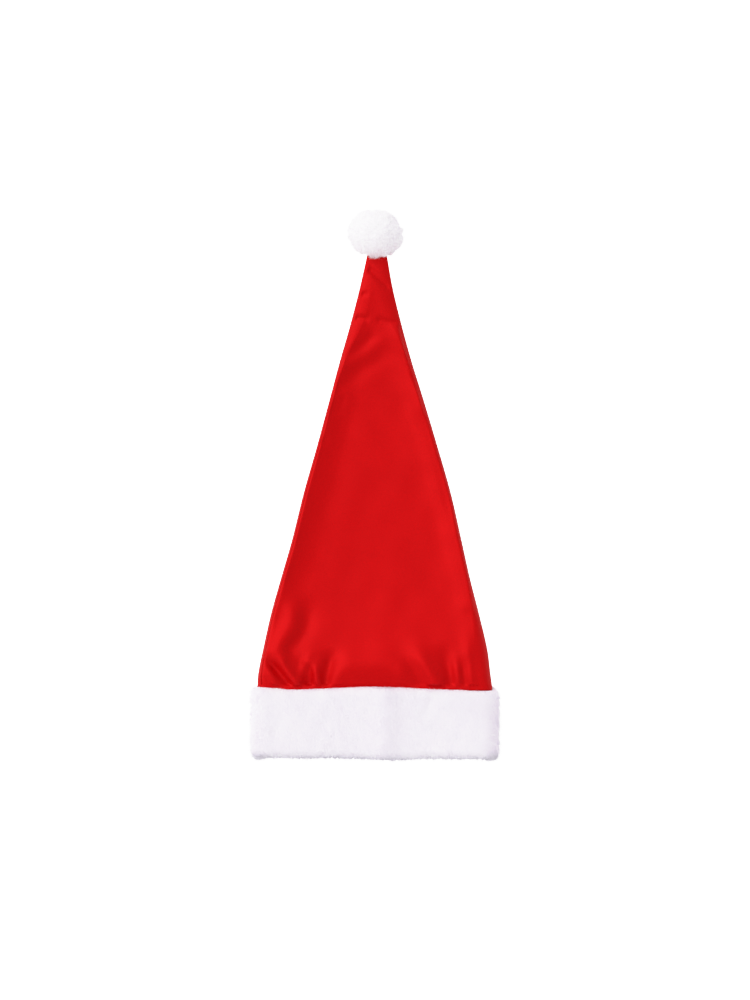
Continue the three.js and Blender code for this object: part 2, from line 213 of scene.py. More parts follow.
def fold_height(x, along):
    """Height that the folds add: each rises from the start of its line, where it is half as wide again,
    fades like a bell curve away from the line, and dies out at the seam."""
    height = np.zeros_like(x)
    for fold in CROWN_FOLDS:
        stops = np.linspace(0, 1, len(fold.line))
        knots = np.linspace(0, 1, FOLD_STEPS * len(fold.line))
        line_x, line_along = (curve_through(knots, stops, column) for column in zip(*fold.line))
        away = np.full(x.shape, np.inf)
        place = np.zeros_like(x)
        for i in range(len(knots) - 1):
            run_x, run_along = line_x[i + 1] - line_x[i], line_along[i + 1] - line_along[i]
            off_x, off_along = x - line_x[i], along - line_along[i]
            part = np.clip((off_x * run_x + off_along * run_along) / (run_x ** 2 + run_along ** 2), 0, 1)
            apart = np.hypot(off_x - part * run_x, off_along - part * run_along)
            place = np.where(apart < away, knots[i] + part * (knots[i + 1] - knots[i]), place)
            away = np.minimum(away, apart)
        rise = smoothstep(place, 0, fold.fade) if fold.fade else 1.0
        wide = fold.spread * (FOLD_START - (FOLD_START - 1) * rise)
        height += fold.height * rise * np.exp(-((away / wide) ** 2))
    return height * smoothstep(along, 0, FOLD_FADE)


# The crown's swell, and its folds' distance from the outline
SWELL = 0.35
CROWN_SWELLS = ((34, 3), (90, 4))
FOLD_EDGE = 2.5

# Side seams: the groove, its puckers, the distances along where it fades, and how far round and where the
# seams turn down
SEAM_GROOVE = 1.3
SEAM_GROOVE_WIDTH = 0.8
SEAM_PUCKER = 0.12
SEAM_PUCKER_WIDTH = 7.0
SEAM_PUCKER_PITCH = 9.0
SEAM_PUCKER_SWAY = 2
SEAM_PUCKER_SWELLS = ((60, 5),)
SEAM_SHOWS = (400, 290)
SEAM_DOWN = 0.3
SEAM_DOWN_SPAN = (330, 440)


def seam_push(along, place, roll):
    """How far the crown's face is pushed out near a side seam: a narrow groove, and puckers along it that
    sway in their pitch, each fading like a bell curve away from the seam."""
    apart = np.abs((place - SEAM_TURN + 1) % 2 - 1) * np.pi * roll
    sway = SEAM_PUCKER_SWAY * uneven(along, 0 * along, SEAM_PUCKER_SWELLS)
    pucker = np.sin(2 * np.pi * along / SEAM_PUCKER_PITCH + sway)
    push = -SEAM_GROOVE * np.exp(-((apart / SEAM_GROOVE_WIDTH) ** 2))
    push = push + SEAM_PUCKER * pucker * np.exp(-((apart / SEAM_PUCKER_WIDTH) ** 2))
    return push * smoothstep(along, 0, FOLD_FADE) * smoothstep(along, *SEAM_SHOWS)


def crown_surface(along, place):
    """The crown's outer face: a flattened ring at each distance along. Its top is folded, gently swollen and
    domed or sunk between the side edges: it leaves the left one on a parabola and the right one on a
    longer, fading curve. A puckered groove runs along each side seam, and the seams turn down to the sides
    at the tip."""
    stops = [section.along for section in CROWN_SECTIONS]
    left, right, lift, roll, left_edge, right_edge, dome = (
        curve_through(np.maximum(along, 0), stops, column) for column in list(zip(*CROWN_SECTIONS))[1:]
    )
    lift = np.maximum(lift, 0)
    turned = (place + SEAM_DOWN * smoothstep(along, *SEAM_DOWN_SPAN)) % 4
    x, z, out_x, out_z = ring(left, right, (left_edge, right_edge), roll, turned)
    height = lift + roll + z
    upper = (turned > 1) & (turned < 2)
    from_left = np.where(upper, x - left - left_edge, 0)
    from_right = np.where(upper, right - x - right_edge, 0)
    half = EDGE_EASE_SHARE * ((right - left) / 2 - roll)
    left_eased = 1 - (1 - np.clip(from_left / np.minimum(EDGE_EASE[0], half), 0, 1)) ** 2
    right_eased = 1 - np.exp(-from_right / np.minimum(EDGE_EASE[1], half / 2))
    height = height + dome * left_eased * right_eased
    swell = SWELL * uneven(x, along, CROWN_SWELLS) * smoothstep(along, 0, FOLD_FADE)
    inside = np.where(out_z > 0, np.minimum(x - left, right - x) - FOLD_EDGE, 0)
    height = height + (fold_height(x, along) + swell) * smoothstep(inside, 0, FOLD_FADE)
    push = seam_push(along, place, roll)
    height = np.maximum(height + push * out_z, 0)
    return np.stack([x + push * out_x, SEAM_Y + along, height], -1)


def normals_of(grid):
    """Unit normals of a grid of points, from its rows and columns."""
    across = np.gradient(grid, axis=1)
    upward = np.gradient(grid, axis=0)
    normal = np.cross(across, upward)
    return normal / np.maximum(np.linalg.norm(normal, axis=-1, keepdims=True), 1e-9)


def make_piece(name, points, faces, materials, corners, slots=None, smooth=True):
    """A mesh object from arrays: points in millimetres, faces as rows of point numbers, the bake map's
    place of each face corner, and the material slot of each face where there are several."""
    mesh = bpy.data.meshes.new(name)
    count, sides = faces.shape
    mesh.vertices.add(len(points))
    mesh.vertices.foreach_set("co", (points * MM).astype(np.float32).ravel())
    mesh.loops.add(count * sides)
    mesh.loops.foreach_set("vertex_index", faces.astype(np.int32).ravel())
    mesh.polygons.add(count)
    mesh.polygons.foreach_set("loop_start", np.arange(0, count * sides, sides, dtype=np.int32))
    for material in materials:
        mesh.materials.append(material)
    if slots is not None:
        mesh.polygons.foreach_set("material_index", slots.astype(np.int32))
    layer = mesh.uv_layers.new(name=BAKE_MAP)
    layer.uv.foreach_set("vector", corners.astype(np.float32).ravel())
    mesh.update(calc_edges=True)
    mesh.validate()
    if smooth:
        mesh.shade_smooth()
    else:
        mesh.shade_flat()
    piece = bpy.data.objects.new(name, mesh)
    bpy.context.collection.objects.link(piece)
    return piece


def tube_faces(rows, columns, close_rows=False):
    """Four-sided faces of a grid whose columns close on themselves, and its rows too if asked,
    with each corner's place on a map that the grid fills."""
    row, column = np.meshgrid(np.arange(rows if close_rows else rows - 1), np.arange(columns), indexing="ij")
    row, column = row.ravel(), column.ravel()
    steps = [(0, 0), (1, 0), (1, 1), (0, 1)]
    faces = np.stack([(row + r) % rows * columns + (column + c) % columns for r, c in steps], -1)
    tall = rows if close_rows else rows - 1
    corners = np.stack([np.stack([(column + c) / columns, (row + r) / tall], -1) for r, c in steps], 1)
    return faces, corners


def spaced(start, *stretches):
    """Values from start to each stretch's end, evenly spaced within it: stretches are (end, steps)."""
    values = [np.array([start])]
    for end, steps in stretches:
        values.append(np.linspace(values[-1][-1], end, steps + 1)[1:])
    return np.concatenate(values)


# Rows of points on a panel: how far along each stretch ends, and its steps
PANEL_ROWS = ((0, 2), (60, 60), (360, 80), (CROWN_LENGTH + TIP_TUCK, 100))


def satin_panel(name, places, outside, inside):
    """One panel of the crown: each row of points runs across the outer face and back across the inner face,
    one thickness of cloth below, and strips close the hem and the tip."""
    along = spaced(FIT_GAP - HEM, *PANEL_ROWS)
    outer = crown_surface(*np.meshgrid(along, places, indexing="ij"))
    inner = outer + CLOTH * normals_of(outer)
    points = np.concatenate([outer, inner[:, ::-1]], 1)
    rows, columns = points.shape[:2]
    faces, corners = tube_faces(rows, columns)
    half = len(places)
    side = np.arange(half - 1)
    ends = []
    for first, turned in ((0, False), ((rows - 1) * columns, True)):
        strip = np.stack([side, side + 1, columns - 2 - side, columns - 1 - side], -1) + first
        ends.append(strip[:, ::-1] if turned else strip)
    end_corners = np.zeros((2 * (half - 1), 4, 2))
    slots = (np.tile(np.arange(columns), rows - 1) >= half - 1).astype(int)
    return make_piece(
        name,
        points.reshape(-1, 3),
        np.concatenate([faces, *ends]),
        [outside, inside],
        np.concatenate([corners, end_corners]),
        np.concatenate([slots, np.ones(2 * (half - 1))]),
    )


# Materials

BUMP_STRENGTH = 0.6


class Value:
    """A number socket of a shader, so that sums on it add Math nodes."""

    def __init__(self, tree, socket):
        self.tree = tree
        self.socket = socket

    def maths(self, operation, first, second):
        """Adds a Math node on two numbers or values."""
        node = self.tree.nodes.new("ShaderNodeMath")
        node.operation = operation
        for socket, value in zip(node.inputs, (first, second)):
            feed(self.tree, socket, value)
        return Value(self.tree, node.outputs[0])

    def __add__(self, other):
        return self.maths("ADD", self, other)

    def __sub__(self, other):
        return self.maths("SUBTRACT", self, other)

    def __mul__(self, other):
        return self.maths("MULTIPLY", self, other)

    def __pow__(self, other):
        return self.maths("POWER", self, other)

    __radd__ = __add__
    __rmul__ = __mul__


def feed(tree, socket, value):
    """Sets a socket to a number or colour, or links it to a value."""
    if isinstance(value, Value):
        tree.links.new(value.socket, socket)
    else:
        socket.default_value = value


class Finish:
    """A material's nodes, made one call at a time, that end in a Principled surface."""

    def __init__(self, name, **constants):
        self.material = bpy.data.materials.new(name)
        self.material.use_nodes = True
        self.tree = self.material.node_tree
        self.surface = self.tree.nodes["Principled BSDF"]
        for socket, value in constants.items():
            self.surface.inputs[socket.replace("_", " ")].default_value = value

    def node(self, kind, settings=None, output=0, **inputs):
        """Adds a node: its settings first, then its sockets by name or number, and returns one output."""
        node = self.tree.nodes.new(kind)
        for name, value in (settings or {}).items():
            setattr(node, name, value)
        for name, value in inputs.items():
            key = int(name[1:]) if name.startswith("_") else name.replace("_", " ")
            feed(self.tree, node.inputs[key], value)
        return Value(self.tree, node.outputs[output])

    def place(self, turn=0.0):
        """Object coordinates in millimetres, turned about Z."""
        at = self.node("ShaderNodeTexCoord", output="Object")
        return self.node("ShaderNodeMapping", Vector=at, Rotation=(0, 0, turn), Scale=[1 / MM] * 3)

    def noise(self, size, detail, roughness=0.5):
        """Noise from 0 to 1 with lumps of about that size in millimetres."""
        return self.node("ShaderNodeTexNoise", output="Fac", Vector=self.place(), Scale=1 / size,
                         Detail=detail, Roughness=roughness)

    def blend(self, share, first, second):
        """A colour between two, by share."""
        return self.node("ShaderNodeMix", {"data_type": "RGBA"}, 2, Factor=share, _6=first, _7=second)

    def drive(self, **sockets):
        """Sets or links sockets of the surface."""
        for socket, value in sockets.items():
            feed(self.tree, self.surface.inputs[socket.replace("_", " ")], value)

    def bump(self, height, depth):
        """Bends the surface's normal by a height of up to that many millimetres."""
        normal = self.node("ShaderNodeBump", Height=height, Distance=depth * MM, Strength=BUMP_STRENGTH)
        self.drive(Normal=normal)


def colour(red, green, blue):
    """Linear colour with full alpha from display values of 0 to 255."""
    shown = np.array([red, green, blue]) / 255
    linear = np.where(shown <= 0.04045, shown / 12.92, ((shown + 0.055) / 1.055) ** 2.4)
    return (*linear.tolist(), 1.0)


# Satin: the weave's sizes in millimetres, the twill's turn, and what each adds to the tone and the bump.
# A wave texture of scale 1 repeats after WAVE_PITCH.
SATIN_GLOSS = 0.24
SATIN_TINT = (255, 170, 170)
WAVE_PITCH = 0.314
TWILL_PITCH = 0.9
TWILL_TURN = 0.9
GRAIN_SIZE = 1.4
DRIFT_SIZE = 55
TONE_START = -0.15
TONE_OF_DRIFT = 0.3
TONE_OF_TWILL = 0.1
TONE_OF_GRAIN = 0.9
GLOSS_SPREAD = 0.12
BUMP_OF_TWILL = 0.4
BUMP_OF_GRAIN = 0.6
WEAVE_DEPTH = 0.08

# Plush: the matted ground's lumps, and how a fibre's colour runs from root to tip and, by its tone, into the
# colour of painted shade
MAT_SIZE = 2.2
MAT_DEPTH = 0.5
TIP_COLOUR_RISE = 0.6
SHADE_RISE = 4.0
SHADE_MOST = 0.8
PILE_ROUGHNESS = (0.8, 0.15)


def satin(name, deep, lit, roughness):
    """Red satin: a fine grain and diagonal twill, slow changes of tone, and a soft gloss that varies
    with them."""
    finish = Finish(name, Metallic=SATIN_GLOSS, Specular_IOR_Level=0.2, Specular_Tint=colour(*SATIN_TINT))
    twill = finish.node("ShaderNodeTexWave", {"wave_type": "BANDS", "bands_direction": "X"}, "Fac",
                        Vector=finish.place(TWILL_TURN), Scale=WAVE_PITCH / TWILL_PITCH, Distortion=0.6,
                        Detail=1.0, Detail_Scale=0.8)
    grain = finish.noise(GRAIN_SIZE, detail=2.0, roughness=0.6)
    drift = finish.noise(DRIFT_SIZE, detail=3.0)
    tone = drift * TONE_OF_DRIFT + twill * TONE_OF_TWILL + grain * TONE_OF_GRAIN + TONE_START
    finish.drive(Base_Color=finish.blend(tone, deep, lit),
                 Roughness=roughness + GLOSS_SPREAD * (grain - drift))
    finish.bump(twill * BUMP_OF_TWILL + grain * BUMP_OF_GRAIN, WEAVE_DEPTH)
    return finish.material


def plush_ground(name, shaded_hollow, raised, scatter):
    """The matted plush that the loose fibres stand on: pale, darker in the hollows of its lumps and lighter
    on their tops as painted shade, and light scatters that many millimetres inside it."""
    finish = Finish(name, Roughness=0.95, Specular_IOR_Level=0.1, Subsurface_Weight=1.0,
                    Subsurface_Radius=(1, 1, 1), Subsurface_Scale=scatter * MM)
    mat = finish.noise(MAT_SIZE, detail=3.0, roughness=0.6)
    # Painted shade: the mat's hollows darker, its raised lumps lighter.
    finish.drive(Base_Color=finish.blend(mat, shaded_hollow, raised))
    finish.bump(mat, MAT_DEPTH)
    return finish.material


def plush_pile(name, root, tip, shade_colour):
    """Pile fibres: the bake map holds each fibre's own tone with painted shade added across and its length
    upwards, so that roots are a little deeper than tips and no two fibres match. A high tone blends a fibre
    into the colour of painted shade."""
    finish = Finish(name, Specular_IOR_Level=0.1)
    on_map = finish.node("ShaderNodeUVMap", {"uv_map": BAKE_MAP}, "UV")
    tone_and_shade = finish.node("ShaderNodeSeparateXYZ", output="X", Vector=on_map)
    up = finish.node("ShaderNodeSeparateXYZ", output="Y", Vector=on_map)
    # Roots a little darker than tips: painted shade deeper in the pile.
    fibre = finish.blend(up ** TIP_COLOUR_RISE, root, tip)
    finish.drive(Base_Color=finish.blend(tone_and_shade ** SHADE_RISE * SHADE_MOST, fibre, shade_colour),
                 Roughness=PILE_ROUGHNESS[0] + PILE_ROUGHNESS[1] * tone_and_shade)
    return finish.material


# Plush

# A fibre's tones, how wide its foot is on the bake map, and where its root and tip are there
FIBRE_TONES = (0.03, 0.22)
FIBRE_ON_MAP = 0.006
ROOT_ON_MAP = 0.02
TIP_ON_MAP = 0.98


def fibres(name, roots, tips, width, painted_shade, material, rng):
    """Pile as three-sided tapering spikes from roots to tips. Each spike's map place is its own tone, raised
    by the painted shade given for it, and its length."""
    count = len(roots)
    axis = tips - roots
    axis = axis / np.linalg.norm(axis, axis=1, keepdims=True)
    side = np.cross(axis, rng.normal(size=(count, 3)))
    side = side / np.linalg.norm(side, axis=1, keepdims=True)
    other = np.cross(axis, side)
    turns = 2 * np.pi * np.arange(3) / 3
    radial = side[:, None] * np.cos(turns)[:, None] + other[:, None] * np.sin(turns)[:, None]
    wide = np.broadcast_to(width, (count,))[:, None, None] / 2
    points = np.concatenate([roots[:, None] + wide * radial, tips[:, None]], 1)
    spike = np.array([(0, 1, 3), (1, 2, 3), (2, 0, 3)])
    faces = (4 * np.arange(count)[:, None, None] + spike).reshape(-1, 3)
    tone = rng.uniform(*FIBRE_TONES, count) + painted_shade
    across = tone[:, None, None] + np.array([-FIBRE_ON_MAP, FIBRE_ON_MAP, 0.0])
    across = np.broadcast_to(across, (count, 3, 3))
    up = np.broadcast_to(np.array([ROOT_ON_MAP, ROOT_ON_MAP, TIP_ON_MAP]), (count, 3, 3))
    corners = np.stack([across, up], -1)
    return make_piece(name, points.reshape(-1, 3), faces, [material], corners, smooth=False)


# The pile's length outside, round the lower fold, inside and at the seam, how far below the seam that holds,
# how much longer the pile is at the band's ends, how deep that reaches, and the lowest that a tip may be
PILE = 1.8
PILE_AT_FOOT = 2.6
PILE_INSIDE = 1.4
PILE_AT_SEAM = 1.6
PILE_BESIDE_SEAM = 2.5
PILE_MORE = 1.0
PILE_MORE_AT = (0.5, 0.15)
PILE_MORE_DEPTH = 4.0
LOWEST_TIP = 0.25

# How far the ground ends below the seam, and the room below the hem in the slot. Then the band's uneven seam
# and lower edge, and how squarely a point faces up where they, or the packing folds, begin to show and show
# in full.
GROUND_BELOW_SEAM = 1.2
HEM_ROOM = 1.0
EDGES_SHOW = (-0.6, 0.3)
FOLDS_SHOW = (0.7, 1.0)
SEAM_WAVE_X = (-145, -118, -92, 0, 60, 105, 132, 145)
SEAM_WAVE = (0.5, -0.6, -2.4, 1.0, -1.6, -3.2, -4.2, -3.4)
FOOT_WAVE_X = (-145, -135, -86, -52, -17, 18, 64, 110, 145)
FOOT_WAVE = (3.6, 3.2, 2.0, 2.6, 1.4, 0.0, 1.1, 0.9, 0.3)
SEAM_CORNER = 7.0
FOOT_CORNER = 9.0
BAND_MIDDLE = 0.5


def corner(x, radius):
    """How far a rounded corner of that radius draws in towards the band's ends."""
    past = np.clip(np.abs(x) - BAND_WIDTH / 2 + radius, 0, radius)
    return radius - np.sqrt(radius ** 2 - past ** 2)


def band_edges(x, height, out_z):
    """How far the uneven seam and lower edge, and their rounded corners, shift a point along the hat: each
    fades towards the band's middle, and both fade towards its underside."""
    upper = curve_through(x, SEAM_WAVE_X, SEAM_WAVE) - corner(x, SEAM_CORNER)
    lower = curve_through(x, FOOT_WAVE_X, FOOT_WAVE) + corner(x, FOOT_CORNER)
    part = height / BAND_LENGTH
    shift = upper * smoothstep(part, BAND_MIDDLE, 1) + lower * smoothstep(part, BAND_MIDDLE, 0)
    return shift * smoothstep(out_z, *EDGES_SHOW)


def band_relief(x, height, out_z):
    """Height that the packing folds, each fading like a bell curve, and uneven lumps add to the band where
    it faces up."""
    folds = sum(fold.height * np.exp(-(((x - fold.x) / fold.spread) ** 2)) for fold in BAND_FOLDS)
    return smoothstep(out_z, *FOLDS_SHOW) * (folds + BAND_LUMPS * uneven(x, height, BAND_SWELLS))


def arc(centre, radius, start, end, steps):
    """Points on an arc, its angles in degrees."""
    turn = np.radians(np.linspace(start, end, steps + 1))
    return np.stack([centre[0] + radius * np.cos(turn), centre[1] + radius * np.sin(turn)], -1)


def line(start, end, steps):
    """Points between two ends, without the ends."""
    return np.linspace(start, end, steps + 1)[1:-1]


GROUND_INSIDE = BAND_WALL - PILE_INSIDE
GROUND_FOLD = (GROUND_INSIDE - PILE) / 2
FOLD_MIDDLE = (PILE + GROUND_FOLD, PILE_AT_FOOT + GROUND_FOLD)
GROUND_TOP = BAND_LENGTH - GROUND_BELOW_SEAM
SLOT = (SEAM_INSET - FIT_GAP, SEAM_INSET + CLOTH + FIT_GAP)
SLOT_FLOOR = BAND_LENGTH - HEM - HEM_ROOM

# Steps round the band's flattened ring: the right end, the top, the left end and the underside
RING_STEPS = ((1, 24), (2, 120), (3, 24), (4, 60))


def outer_path():
    """Section of the ground's outer side as depth below the outer pile and height from the lower edge:
    round the lower fold from inside, up the outer face and over the top to the seam slot."""
    round_top = SLOT[0] - PILE
    return np.concatenate([
        arc(FOLD_MIDDLE, GROUND_FOLD, 0, -180, steps=10),
        line((PILE, FOLD_MIDDLE[1]), (PILE, GROUND_TOP - round_top), steps=20),
        arc((SLOT[0], GROUND_TOP - round_top), round_top, 180, 90, steps=6),
    ])


def inner_path():
    """The ground's inner face, from the top down to the lower fold."""
    return np.linspace((GROUND_INSIDE, GROUND_TOP), (GROUND_INSIDE, FOLD_MIDDLE[1]), num=12)


def longer_pile(place):
    """How much longer the pile is at the band's rounded ends, where it stands free."""
    return PILE_MORE * smoothstep(np.abs(place % 2 - 0.5), *PILE_MORE_AT)


def band_point(depth, height, place):
    """A point of the band from its depth below the outer pile, its height and its place round the ring,
    raised by the packing folds on the upper side, and the way out of the ring there."""
    depth = depth + longer_pile(place) * np.clip(1 - (depth - PILE) / PILE_MORE_DEPTH, 0, 1)
    reach = BAND_WIDTH / 2 - depth
    radius = BAND_RADIUS - depth
    x, z, out_x, out_z = ring(-reach, reach, (radius, radius), radius, place)
    raised = np.clip(1 - depth / SEAM_INSET, 0, 1) * band_relief(x, height, out_z)
    y = BAND_FOOT_Y + height + band_edges(x, height, out_z)
    return np.stack([x, y, BAND_RADIUS + z + raised], -1), out_x, out_z


def band_ground(material):
    """The band's ground: its section, with the seam slot, carried round the flattened ring."""
    slot = [(SLOT[0], SLOT_FLOOR), (SLOT[1], SLOT_FLOOR)]
    profile = np.concatenate([outer_path(), slot, inner_path()[:-1]])
    places = spaced(0.0, *RING_STEPS)[:-1]
    place, row = np.meshgrid(places, np.arange(len(profile)), indexing="ij")
    points = band_point(profile[row, 0], profile[row, 1], place)[0]
    faces, corners = tube_faces(*place.shape, close_rows=True)
    return make_piece("band_ground", points.reshape(-1, 3), faces, [material], corners)


def along_path(path, run):
    """Points of a path at those distances along it, and the way along it there."""
    steps = np.diff(path, axis=0)
    lengths = np.linalg.norm(steps, axis=1)
    stops = np.concatenate([[0], np.cumsum(lengths)])
    ways = steps / lengths[:, None]
    at = np.stack([np.interp(run, stops, path[:, 0]), np.interp(run, stops, path[:, 1])], -1)
    middles = (stops[1:] + stops[:-1]) / 2
    way = np.stack([np.interp(run, middles, ways[:, 0]), np.interp(run, middles, ways[:, 1])], -1)
    return at, way / np.linalg.norm(way, axis=1, keepdims=True)


def path_length(path):
    """The steps of a path added up."""
    return np.linalg.norm(np.diff(path, axis=0), axis=1).sum()


# Locks of pile: their size, where in its cell a lock may stand, how strongly fibres lean into them where the
# pile is even and where it is free, and their own leans and lengths
LOCK_SIZE = 3.6
LOCK_SPOT = (0.1, 0.9)
LOCK_PULL = 0.12
FREE_PULL = 0.4
LOCK_LEAN = 0.12
LOCK_LENGTHS = (0.45, 1.6)

# Fibres: the nap's lean across and along, the heights over which it comes in, a slow drift of the lean, each
# fibre's own stray lean and length, and the share of longer, finer ones
NAP = (0.15, -0.9)
NAP_FADE = (4, 16)
LEAN_DRIFT = 0.3
LEAN_DRIFT_SIZE = 26
STRAY = 0.5
FREE_STRAY_LOSS = 0.5
FIBRE_LENGTHS = (0.55, 1.04)
LONG_SHARE = 0.2
LONGER = 2.3
LONG_WIDTH = 0.5
SEAM_STRAY = 0.25
FOOT_STRAY = 3

# How much painted shade darkens the parted pile at the lower fold, and how high above the fold that painted
# shade reaches
FOLD_SHADE = 0.73
FOLD_SHADE_FROM = 12.0


def gather_locks(around, run, rng):
    """For each fibre, the way to the middle of the lock that it leans into, at a random spot in each cell
    of a grid, with the lock's own lean and length."""
    cells = np.stack([np.floor(around / LOCK_SIZE), np.floor(run / LOCK_SIZE)], -1).astype(int)
    first = cells.min(0)
    size = cells.max(0) - first + 1
    spots = rng.uniform(*LOCK_SPOT, (*size, 2))
    leans = rng.normal(0, LOCK_LEAN, (*size, 2))
    lengths = rng.uniform(*LOCK_LENGTHS, size)
    index = tuple((cells - first).T)
    pull = (cells + spots[index]) * LOCK_SIZE - np.stack([around, run], -1)
    return pull, leans[index], lengths[index]


def band_pile(name, count, places, path, length, width, seed, material):
    """Pile on part of the band: fibres rooted evenly on the ground that stand square to it, lean with the
    nap and into locks, and end at the band's outer form, none past the seam or below the surface. It stands
    in uneven locks where it is free, at the band's ends and round the lower fold. It parts more and more
    towards that fold, and there and on the outer face just above it painted shade darkens the fibres."""
    rng = np.random.default_rng(seed)
    place = rng.uniform(*places, count)
    run = rng.uniform(0, path_length(path), count)
    (depth, height), (way_in, way_up) = (part.T for part in along_path(path, run))
    root, out_x, out_z = band_point(depth, height, place)
    none = np.zeros(count)
    ring_way = np.stack([-out_z, none, out_x], -1)
    run_way = np.stack([-way_in * out_x, way_up, -way_in * out_z], -1)
    normal = np.stack([way_up * out_x, way_in, way_up * out_z], -1)
    straight = BAND_WIDTH - 2 * BAND_RADIUS
    around = np.where(np.floor(place) % 2 == 0, np.pi * BAND_RADIUS, straight) * place
    pull, lean, lock_length = gather_locks(around, run, rng)
    drift = np.stack([waves(around, run, LEAN_DRIFT_SIZE, seed + way) for way in (1, 2)], -1)
    nap = np.array(NAP) * smoothstep(height, *NAP_FADE)[:, None]
    parted = np.clip(-way_in, 0, 1)
    free = np.maximum(longer_pile(place) / PILE_MORE, parted)[:, None]
    pull = pull * (LOCK_PULL + (FREE_PULL - LOCK_PULL) * free) / length
    stray = rng.normal(0, STRAY, (count, 2)) * (1 - FREE_STRAY_LOSS * free)
    aside = pull + lean + LEAN_DRIFT * drift + stray + nap
    reach = length + longer_pile(place) + (PILE_AT_FOOT - PILE) * parted
    reach = reach * (1 + (lock_length - 1) * free[:, 0]) * rng.uniform(*FIBRE_LENGTHS, count)
    longer = rng.random(count) < LONG_SHARE
    reach = np.where(longer, LONGER * reach, reach)
    reach = np.where(height > GROUND_TOP - PILE_BESIDE_SEAM, np.minimum(reach, PILE_AT_SEAM), reach)
    tip = root + reach[:, None] * (normal + aside[:, :1] * ring_way + aside[:, 1:] * run_way)
    settle = np.clip(depth / SEAM_INSET, 0, 1) * band_relief(root[:, 0], height, out_z)
    tip[:, 2] = np.maximum(tip[:, 2] + settle, LOWEST_TIP)
    edge = SEAM_Y + band_edges(tip[:, 0], BAND_LENGTH, out_z)
    tip[:, 1] = np.minimum(tip[:, 1], edge + rng.normal(0, SEAM_STRAY, count))
    tip[:, 1] = np.maximum(tip[:, 1], BAND_FOOT_Y - FOOT_STRAY)
    # Painted shade: fibres round the lower fold, and on the outer face a little above it, are darkened
    # towards the shade colour.
    shade_above_fold = np.sqrt(np.clip(1 - (height / FOLD_SHADE_FROM) ** 2, 0, 1)) * (way_up > 0)
    painted_shade = FOLD_SHADE * np.maximum(parted, shade_above_fold)
    return fibres(name, root, tip, np.where(longer, LONG_WIDTH, 1.0) * width, painted_shade, material, rng)


# The pompom: its middle, how far its pile and its core reach, a bulge to one side, its tufts, and its yarn's
# uneven ends and widths
POMPOM_SEED = 71
POMPOM_CENTRE = np.array([0.6, 290.9, 27.0])
POMPOM_REACH = np.array([32.8, 29.0, 28.6])
POMPOM_CORE = np.array([31.2, 27.4, 27.0])
POMPOM_BULGE_WAY = (0.76, -0.65, 0.0)
POMPOM_BULGE = 0.07
POMPOM_BULGE_SPAN = (0.6, 1.0)
POMPOM_TURNS = 180
POMPOM_RINGS = 100
POMPOM_POLE = 89.9
POMPOM_FOOT = 3.0
TUFTS = 420
TUFT_JITTER = 0.05
TUFT_LENGTHS = (0.94, 1.06)
TUFT_PULL = 0.35
TUFT_RELIEF = 0.06
TUFT_EDGE = 3.0
YARN_JITTER = 0.012
YARN_LEAN = 0.09
YARN_LENGTHS = (0.93, 1.02)
YARN_STRAY = 0.07
YARN_ROOT = 0.99
YARN_FOOT = 2.6
YARN_WIDTH = 0.22
YARN_LONG_WIDTH = 0.15

# Room in the yarn for the crown's tip: from side to side, past its end, and the heights of its underside,
# middle and top
TIP_ROOM_X = (-11, 16.2)
TIP_ROOM_END = 2
TIP_ROOM_UNDER = 17.5
TIP_ROOM_MIDDLE = 21
TIP_ROOM_TOP = 24.5


def even_ways(count):
    """Directions spread evenly over a ball, along a golden spiral."""
    step = np.arange(count) + 0.5
    z = 1 - 2 * step / count
    turn = np.pi * (1 + 5 ** 0.5) * step
    flat = np.sqrt(1 - z * z)
    return np.stack([flat * np.cos(turn), flat * np.sin(turn), z], -1)


def unit(ways):
    """Directions of length 1."""
    return ways / np.linalg.norm(ways, axis=-1, keepdims=True)


def pompom_tufts(ways, seed):
    """For directions out of the pompom: the middle of the tuft each is in, and how far out the tuft
    stands there, as a rounded head of its own length that falls away to its soft edge."""
    rng = np.random.default_rng(seed)
    tufts = unit(even_ways(TUFTS) + rng.normal(0, TUFT_JITTER, (TUFTS, 3)))
    lengths = rng.uniform(*TUFT_LENGTHS, TUFTS)
    apart = (1 - ways @ tufts.T) * TUFTS / 2
    share = np.exp(-TUFT_EDGE * apart)
    share = share / share.sum(1, keepdims=True)
    bulge = POMPOM_BULGE * smoothstep(ways @ np.array(POMPOM_BULGE_WAY), *POMPOM_BULGE_SPAN)
    return unit(share @ tufts), share @ lengths + bulge - TUFT_RELIEF * (share * apart).sum(1)


def pompom_core(material):
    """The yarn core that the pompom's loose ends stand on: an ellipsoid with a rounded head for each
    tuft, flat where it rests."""
    turns = np.linspace(0, 2 * np.pi, POMPOM_TURNS + 1)[:-1]
    rises = np.radians(np.linspace(-POMPOM_POLE, POMPOM_POLE, POMPOM_RINGS))
    turn, rise = np.meshgrid(turns, rises, indexing="xy")
    ways = np.stack([np.cos(rise) * np.cos(turn), np.cos(rise) * np.sin(turn), np.sin(rise)], -1)
    stand = pompom_tufts(ways.reshape(-1, 3), POMPOM_SEED)[1].reshape(*turn.shape, 1)
    points = POMPOM_CENTRE + POMPOM_CORE * ways * stand
    points[..., 2] = np.maximum(points[..., 2], POMPOM_FOOT)
    faces, corners = tube_faces(*turn.shape)
    return make_piece("pompom_core", points.reshape(-1, 3), faces[:, ::-1], [material], corners[:, ::-1])


